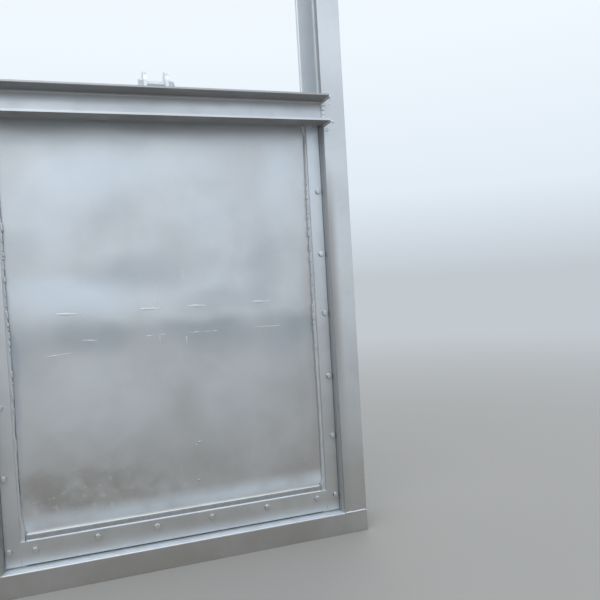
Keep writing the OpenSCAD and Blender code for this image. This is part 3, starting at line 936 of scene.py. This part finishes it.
def bottom_rubber(rubber, stray):
    shape = Shape()
    rings = []
    steps = 140
    low = BOTTOM_SEAL_LOW.z
    back = PLATE_LOW.y
    front = RUBBER_FRONT
    for k, x in enumerate(spread(BOTTOM_SEAL_LOW.x, BOTTOM_SEAL_HIGH.x, steps)):
        uneven = 0.25 * noise.noise(Vector((x * 5, 0, 4))) + 0.12 * noise.noise(Vector((x * 40, 2, 4)))
        top = BOTTOM_SEAL_HIGH.z + min(1.0, k / 6, (steps - k) / 6) * stray * (uneven - 0.08)
        ring = [(top, back), (top, front + 0.0018), (top - 0.0005, front + 0.0005), (top - 0.0018, front),
                (low + 0.001, front), (low, front + 0.001), (low, back)]
        rings.append([Vector((x, y, z)) for z, y in ring])
    shape.rings(rings)
    piece = shape.piece("bottom_rubber", rubber, "leaf", "seal_rubber")
    bevel(piece, 0.0006, 60.0)
    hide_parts("bottom_seal")


def top_rubber(rubber):
    shape = Shape()
    radius = (PLATE_LOW.y - TOP_SEAL_LOW.y) / 2
    outline = bulb_profile(TOP_SEAL_HIGH.z, TOP_SEAL_LOW.z + radius, radius)
    shape.rings([[Vector((x, y, z)) for z, y in outline]
                 for x in spread(TOP_SEAL_LOW.x, TOP_SEAL_HIGH.x, 60)])
    piece = shape.piece("top_rubber", rubber, "leaf", "seal_rubber")
    bevel(piece, 0.0008, 60.0)
    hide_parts("top_seal")


def sealant(stray):
    """Sealant in the corners over the bottom rubber and its strip, wiped by hand and painted over."""
    shape = Shape()
    for low, back, tall, deep in ((BOTTOM_SEAL_HIGH.z - 0.0015, PLATE_LOW.y, 0.0125, 0.0046),
                                  (BOTTOM_STRIP_HIGH.z - 0.0009, RUBBER_FRONT, 0.0022, 0.0042)):
        rings = []
        inside = back + 0.0004
        for x in spread(BOTTOM_SEAL_LOW.x + 0.001, BOTTOM_SEAL_HIGH.x - 0.001, 220):
            uneven = noise.noise(Vector((x * 9, 3, low))) + 0.6 * noise.noise(Vector((x * 34, 6, low)))
            rise = tall * (1 + 0.22 * uneven)
            reach = deep + 0.0006 * noise.noise(Vector((x * 22, 9, 1)))
            ring = [(low, inside), (low, inside - reach)]
            for a in spread(0.0, math.pi / 2, 6):
                ring.append((low + 0.0010 + rise * (1 - math.cos(a)), inside - reach * (1 - math.sin(a))))
            rings.append([Vector((x, y, z)) for z, y in ring[::-1]])
        shape.rings(rings)
    dice = random.Random(31)
    for side in CUTS:
        x = side * (BOTTOM_STRIP_HIGH.x + 0.0002)
        front = BOTTOM_STRIP_LOW.y + 0.0006
        weld_bead(shape, (x, front, BOTTOM_STRIP_LOW.z + 0.004), (x, front, BOTTOM_STRIP_HIGH.z),
                  0.0012, dice)
    for side, (_, _, up, high) in CUTS.items():
        while up < high:
            length = dice.uniform(0.004, 0.022)
            ends = []
            for end in (up, up + length):
                edge = cut_edge(SILL_TOP + end, side, stray) + dice.uniform(0.0002, 0.0022)
                ends.append((side * edge, RUBBER_FRONT - 0.0001, SILL_TOP + end))
            weld_bead(shape, *ends, dice.uniform(0.0014, 0.0028), dice, flat=0.6)
            up += length + dice.uniform(0.001, 0.020)
    paint = silver_paint("sealant_paint", 6.1, metal=0.50, gloss=0.44, lit=0.96, grain=0.35)
    shape.piece("sealant_cove", paint, "leaf", "leaf_steel")


class SLUICE_OT_seals(bpy.types.Operator):
    """Makes the rubber seals with their bulbs and hand-cut edges"""

    bl_idname = "sluice.seals"
    bl_label = "Rubber seals"

    def execute(self, context):
        stray = context.scene.gate_sizes.lip_stray
        painted = seal_rubber("painted_rubber", 0.80, 1.0)
        grey = seal_rubber("grey_rubber", 0.20, 0.28)
        for side in CUTS:
            side_rubber(painted, side, stray)
        bottom_rubber(grey, stray)
        sealant(stray)
        top_rubber(grey)
        return {"FINISHED"}


# Bolts

def bolt_places():
    """Middle of each bolt's seat on the face of its strip."""
    outward = 0.007
    stray = 0.0012
    column = (SIDE_STRIP_LOW.x + SIDE_STRIP_HIGH.x) / 2 + outward
    top_row = (TOP_STRIP_LOW.z + TOP_STRIP_HIGH.z) / 2 - SILL_TOP
    spots = [(column + stray * math.sin(7 * z), z) for z in RIGHT_BOLTS]
    spots += [(-column - stray * math.sin(9 * z), z) for z in LEFT_BOLTS]
    spots += BOTTOM_BOLTS
    spots += [(x, top_row) for x in TOP_BOLTS]
    return [Vector((x, SIDE_STRIP_LOW.y, SILL_TOP + z)) for x, z in spots]


def add_head(shape, place, across, dice):
    """A painted hexagon head with a chamfered crown, a little askew."""
    height = across * 0.42
    corner = across / math.sqrt(3)
    outline = ((0.0, 1.0), (0.12, 1.0), (0.66, 1.0), (0.82, 1.0), (0.94, 0.90), (1.0, 0.74), (1.04, 0.36))
    profile = [(-0.0006, corner), *((height * up, corner * wide) for up, wide in outline)]
    shoulder = height * 0.82

    def reach(a, along, radius):
        return min(hexagon(a, across), corner * 0.965 if along == shoulder else radius)

    axis = Vector((dice.uniform(-0.05, 0.05), -1, dice.uniform(-0.05, 0.05))).normalized()
    shape.rings(turned(profile, place, axis, 24, dice.uniform(0, math.tau), reach))


def add_tip(shape, place, dice):
    """The threaded end of a strip bolt behind the plate."""
    radius = 0.0036
    pitch = 0.00125
    length = dice.uniform(0.004, 0.0075)
    ends = [(-0.001, radius), (length + 0.0006, radius * 0.7)]
    add_thread(shape, ends, place, Vector((0, 1, 0)), radius, pitch, length, 18)


def add_thread(shape, ends, place, axis, radius, pitch, length, sides):
    """A screw thread between the two end points of a profile."""
    steps = int(length / pitch * 4)
    profile = [ends[0], *((along, radius) for along in spread(0.0, length, steps)), ends[1]]

    def reach(a, along, wide):
        if wide < radius or not 0 < along < length:
            return wide
        turn = (along / pitch - a / math.tau) % 1.0
        return radius - 0.55 * pitch * (1 - abs(2 * turn - 1))

    shape.rings(turned(profile, place, axis, sides, 0.0, reach))


def add_lug_bolt(paint):
    """A hexagon bolt through both lugs, with its nut and a few turns of thread beyond it."""
    axis = Vector((1, 0, 0))
    middle = (BOLT_LOW + BOLT_HIGH) / 2
    across = min(BOLT_HIGH.y - BOLT_LOW.y, BOLT_HIGH.z - BOLT_LOW.z)
    head_end = -LUG_HIGH.x
    nut_end = NUT_HIGH.x
    tail = BOLT_HIGH.x - nut_end
    shank = 0.008
    pitch = 0.002
    sides = 32

    def centred(x):
        return Vector((x, middle.y, middle.z))

    shape = Shape()
    add_hexagon(shape, centred(BOLT_LOW.x), axis, across, head_end - BOLT_LOW.x)
    plain = [(0.0, shank), (nut_end - head_end, shank)]
    shape.rings(turned(plain, centred(head_end - 0.0005), axis, sides))
    add_thread(shape, [(-0.0005, shank), (tail, shank * 0.82)], centred(nut_end), axis,
                shank, pitch, tail - 0.0008, sides)
    bolt = shape.piece("lifting_bolt", paint, "leaf", "bolt_metal", smooth=False)
    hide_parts("lug_bolt")
    shape = Shape()
    add_hexagon(shape, centred(NUT_LOW.x), axis, across, nut_end - NUT_LOW.x, True)
    nut = shape.piece("lifting_nut", paint, "leaf", "bolt_metal", smooth=False)
    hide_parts("lug_nut")


def add_hexagon(shape, place, axis, across, length, both=False):
    """A hexagon of steel whose corners are turned off at its first end or at both."""
    corner = across / math.sqrt(3)
    cut = length * 0.16
    crown = ((0.0, 0.80), (0.3, 0.90), (0.65, 0.965), (1.0, 1.0))
    profile = [(cut * along, corner * wide) for along, wide in crown]
    if both:
        profile += [(length - cut * along, corner * wide) for along, wide in reversed(crown)]
    else:
        profile += [(length - cut, corner), (length, corner)]

    def reach(a, along, radius):
        return min(hexagon(a, across), radius)

    shape.rings(turned(profile, place, axis, 36, 0.35, reach))


class SLUICE_OT_bolts(bpy.types.Operator):
    """Adds the bolts of the clamp strips, and the bolt and nut between the lugs"""

    bl_idname = "sluice.bolts"
    bl_label = "Bolts"

    def execute(self, context):
        across = context.scene.gate_sizes.bolt_across
        heads = Shape()
        tips = Shape()
        dice = random.Random(12)
        for place in bolt_places():
            add_head(heads, place, across, dice)
            if abs(place.x) > SIDE_STRIP_LOW.x:
                add_tip(tips, Vector((place.x, PLATE_HIGH.y, place.z)), dice)
        paint = silver_paint("bolt_paint", 4.4, metal=0.72, gloss=0.26, coat=bolt_side_shade)
        heads.piece("strip_bolts", paint, "leaf", "bolt_metal", smooth=False)
        tips.piece("strip_bolt_tips", paint, "leaf", "bolt_metal", smooth=False)
        add_lug_bolt(silver_paint("lifting_bolt_paint", 1.9, metal=0.7, gloss=0.3, grain=0.5))
        return {"FINISHED"}


# Welds of the frame and the leaf

def weld_crossbar(welds):
    """A bead down the web and one along the end of each flange, with spatter about them."""
    edge = OPENING_EDGE
    dice = welds.dice
    face = FRONT + 0.0004
    web_back = FRONT + BAR_WEB
    upper = BAR_HIGH.z - BAR_FLANGE
    welds.pair((edge - 0.0014, face, BAR_LOW.z + 0.012), (edge - 0.0020, face, upper),
               1.22, flat=0.95, lump=0.25, swell=0.62)
    welds.pair((edge - 0.0005, web_back, BAR_LOW.z + 0.004),
               (edge - 0.0005, web_back, BAR_HIGH.z - 0.004), 0.7)
    for z in (BAR_LOW.z, upper):
        welds.pair((edge + 0.0016, FRONT - 0.001, z), (edge + 0.0014, BAR_LOW.y + 0.0045, z + 0.0004),
                   lump=0.35, swell=0.45, beat=0.009)
    for z in (BAR_LOW.z + BAR_FLANGE, BAR_HIGH.z):
        welds.pair((edge + 0.0002, FRONT - 0.001, z), (edge, FRONT - 0.022, z), 0.55, lump=0.30)
    welds.spatter(Vector((edge + 0.026, FRONT, BAR_LOW.z + 0.010)), 0.0030)
    for side in (-1, 1):
        for z in (BAR_LOW.z, upper):
            for _ in range(15):
                x = side * (edge + dice.uniform(0.002, 0.022))
                place = Vector((x, FRONT, z + dice.uniform(-0.014, 0.010)))
                welds.spatter(place, dice.uniform(0.0006, 0.0021))
            for _ in range(4):
                place = Vector((side * (edge + 0.001), dice.uniform(BAR_LOW.y + 0.006, FRONT), z))
                welds.spatter(place, dice.uniform(0.0008, 0.0016))


def weld_posts(welds):
    """Fillets where the posts stand on the sill and carry their caps."""
    dice = welds.dice
    inner = POST_HIGH.x - POST_WEB
    face = FRONT + 0.0006
    first = POST_LOW.x + 0.004
    last = inner - 0.004
    front_flange = FRONT + POST_FLANGE
    for z, inside in ((SILL_TOP, 0.0012), (CAP_LOW.z, -0.0012)):
        level = z + inside
        welds.pair((POST_LOW.x + 0.001, face, z), (POST_HIGH.x - 0.003, face, z), 0.74, lump=0.30)
        welds.pair((first, front_flange, level), (last, front_flange + 0.003, level))
        welds.pair((inner, FRONT + 0.014, level), (inner, -0.014, level))
        welds.pair((first, -POST_FLANGE, level), (last, -POST_FLANGE - 0.003, level))
        for _ in range(14):
            x = dice.uniform(POST_LOW.x, POST_HIGH.x - 0.004)
            height = z + math.copysign(dice.uniform(0.003, 0.018), inside)
            for across in (x, -x + 0.006):
                welds.spatter(Vector((across, FRONT, height)), dice.uniform(0.0004, 0.0011))


def weld_head(welds):
    """Fillets of the head beams, the hoist seat and its stiffeners."""
    cap = CAP_HIGH.z
    seat = SEAT_LOW.z
    ends = (CAP_LOW.x + 0.002, CAP_HIGH.x - 0.004)
    for heel, toe in ((FRONT_HEAD_HIGH.y, FRONT_HEAD_LOW.y), (BACK_HEAD_LOW.y, BACK_HEAD_HIGH.y)):
        way = math.copysign(1, toe - heel)
        welds.pair((ends[0], heel, cap), (ends[1], heel, cap))
        welds.pair((SEAT_HIGH.x, heel + way * 0.003, seat), (SEAT_HIGH.x, toe - way * 0.006, seat))
        for x in (0.028, 0.098):
            welds.pair((x, heel, seat - 0.0008), (x + 0.036, heel, seat - 0.0008), 0.85)
        face = heel + way * HEAD_WEB
        for x in (STIFFENER_X - 0.004, STIFFENER_X + 0.004):
            welds.pair((x, face, cap + 0.018), (x, face, seat - 0.018), 0.7)
    welds.pair((ends[0], FRONT + 0.0005, cap), (ends[1], FRONT + 0.0005, cap), 0.7)
    for x in (0.02, 0.095):
        welds.pair((x, FRONT + 0.0004, seat), (x + 0.04, FRONT + 0.0004, seat), 0.7)


class SLUICE_OT_frame_welds(bpy.types.Operator):
    """Adds the weld beads and spatter of the frame"""

    bl_idname = "sluice.frame_welds"
    bl_label = "Frame welds"

    def execute(self, context):
        welds = Welds(context.scene.gate_sizes.weld_size, 7)
        weld_crossbar(welds)
        weld_posts(welds)
        weld_head(welds)
        # Painted highlight: the weld beads' paint is whiter than the frame's, so that they stand out bright
        paint = silver_paint("weld_paint", 9.2, metal=0.50, cloud_level=0.98, gloss=0.22, lit=1.34)
        welds.piece("frame_welds", paint, "frame", "frame_steel")
        return {"FINISHED"}


def weld_plate(welds):
    """Short fillets between the back of the plate and the beams."""
    back = PLATE_HIGH.y
    for z, runs in MIDDLE_STITCHES.items():
        for start, end in runs:
            welds.bead((start, back, z), (end, back, z))
    for x, runs in RIB_STITCHES.items():
        for start, end in runs:
            welds.bead((x, back, SILL_TOP + start), (x, back, SILL_TOP + end))
    x = END_X + 0.0008
    upright = 0.052
    for k in range(6):
        z = BOTTOM_BEAM_HIGH.z + 0.05 + k * 0.15
        welds.pair((x, back, z), (x, back, z + upright))
    low = BOTTOM_BEAM_HIGH.z - 0.0008
    for k in range(3):
        x = 0.06 + k * 0.12
        for z in (TOP_BEAM_LOW.z, low):
            welds.pair((x, back, z), (x + 0.05, back, z))
    top = TOP_BEAM_HIGH.z - 0.0006
    for x in (0.05, 0.17, 0.29):
        welds.pair((x, back, top), (x + 0.075, back, top), 0.9)


def weld_beams(welds):
    """Fillets where the beams meet the end beams, and the ribs the beams."""
    near = PLATE_HIGH.y + 0.004
    far = MIDDLE_BEAM_HIGH.y
    ribs = (RIB_LOW.x, RIB_HIGH.x)
    for z in (MIDDLE_BEAM_LOW.z, MIDDLE_BEAM_HIGH.z):
        welds.pair((END_X, near, z), (END_X, far - 0.002, z), 0.9)
        for x in ribs:
            welds.bead((x, near, z), (x, far - 0.002, z), 0.8)
        welds.bead((ribs[0] + 0.002, far, z), (ribs[1] - 0.002, far, z), 0.8)
    welds.pair((END_X, far, MIDDLE_BEAM_LOW.z + 0.002), (END_X, far, MIDDLE_BEAM_HIGH.z - 0.002), 0.9)
    for low, high in ((TOP_BEAM_LOW, TOP_BEAM_HIGH), (BOTTOM_BEAM_LOW, BOTTOM_BEAM_HIGH)):
        top = high.z - 0.0006
        back = high.y - 0.0006
        welds.pair((END_X, low.y + 0.003, top), (END_X, high.y - 0.003, top), 0.9)
        welds.pair((END_X, back, low.z + 0.003), (END_X, back, high.z - 0.003), 0.9)
    for z in (TOP_BEAM_LOW.z, BOTTOM_BEAM_HIGH.z):
        for x in ribs:
            welds.bead((x, near, z), (x, near + 0.012, z), 0.8)


def weld_lugs(welds):
    """A fillet along each side of the lugs' feet and round their ends."""
    low, high = LUG_LOW, LUG_HIGH
    foot = low.z
    dice = welds.dice
    for x in (low.x, high.x):
        welds.pair((x, low.y + 0.001, foot), (x, high.y - 0.001, foot), lump=0.28)
    for y in (low.y, high.y):
        welds.pair((low.x - 0.001, y, foot), (high.x + 0.001, y, foot), 0.9)
    for _ in range(40):
        place = Vector((dice.uniform(-0.06, 0.06), dice.uniform(low.y, high.y), foot))
        welds.spatter(place, dice.uniform(0.0004, 0.0011))


class SLUICE_OT_leaf_welds(bpy.types.Operator):
    """Adds the weld beads that hold the leaf's beams, ribs and lugs"""

    bl_idname = "sluice.leaf_welds"
    bl_label = "Leaf welds"

    def execute(self, context):
        welds = Welds(context.scene.gate_sizes.weld_size, 19)
        weld_plate(welds)
        weld_beams(welds)
        weld_lugs(welds)
        paint = silver_paint("leaf_weld_paint", 3.7, metal=0.42, cloud_level=0.98, gloss=0.30, lit=1.2)
        welds.piece("leaf_welds", paint, "leaf", "leaf_steel")
        return {"FINISHED"}


class VIEW3D_PT_sluice_gate(bpy.types.Panel):
    """Lists the steps that finish the gate"""

    bl_label = "Sluice Gate"
    bl_space_type = "VIEW_3D"
    bl_region_type = "UI"
    bl_category = "Sluice Gate"

    def draw(self, context):
        for step in STEPS:
            self.layout.operator(step.bl_idname)
        for group in (context.scene.gate_paint, context.scene.gate_sizes):
            for name in group.bl_rna.properties.keys():
                if name not in ("name", "rna_type"):
                    self.layout.prop(group, name)


STEPS = (
    SLUICE_OT_stage,
    SLUICE_OT_steel,
    SLUICE_OT_face_plate,
    SLUICE_OT_seals,
    SLUICE_OT_bolts,
    SLUICE_OT_frame_welds,
    SLUICE_OT_leaf_welds,
)
CLASSES = (GatePaint, GateSizes, *STEPS, VIEW3D_PT_sluice_gate)


def register():
    for cls in CLASSES:
        bpy.utils.register_class(cls)
    bpy.types.Scene.gate_paint = bpy.props.PointerProperty(type=GatePaint)
    bpy.types.Scene.gate_sizes = bpy.props.PointerProperty(type=GateSizes)


def unregister():
    del bpy.types.Scene.gate_sizes
    del bpy.types.Scene.gate_paint
    for cls in reversed(CLASSES):
        bpy.utils.unregister_class(cls)


def main():
    register()
    bpy.ops.sluice.stage()
    bpy.ops.sluice.steel()
    bpy.ops.sluice.face_plate()
    bpy.ops.sluice.seals()
    bpy.ops.sluice.bolts()
    bpy.ops.sluice.frame_welds()
    bpy.ops.sluice.leaf_welds()


if __name__ == "__main__":
    main()
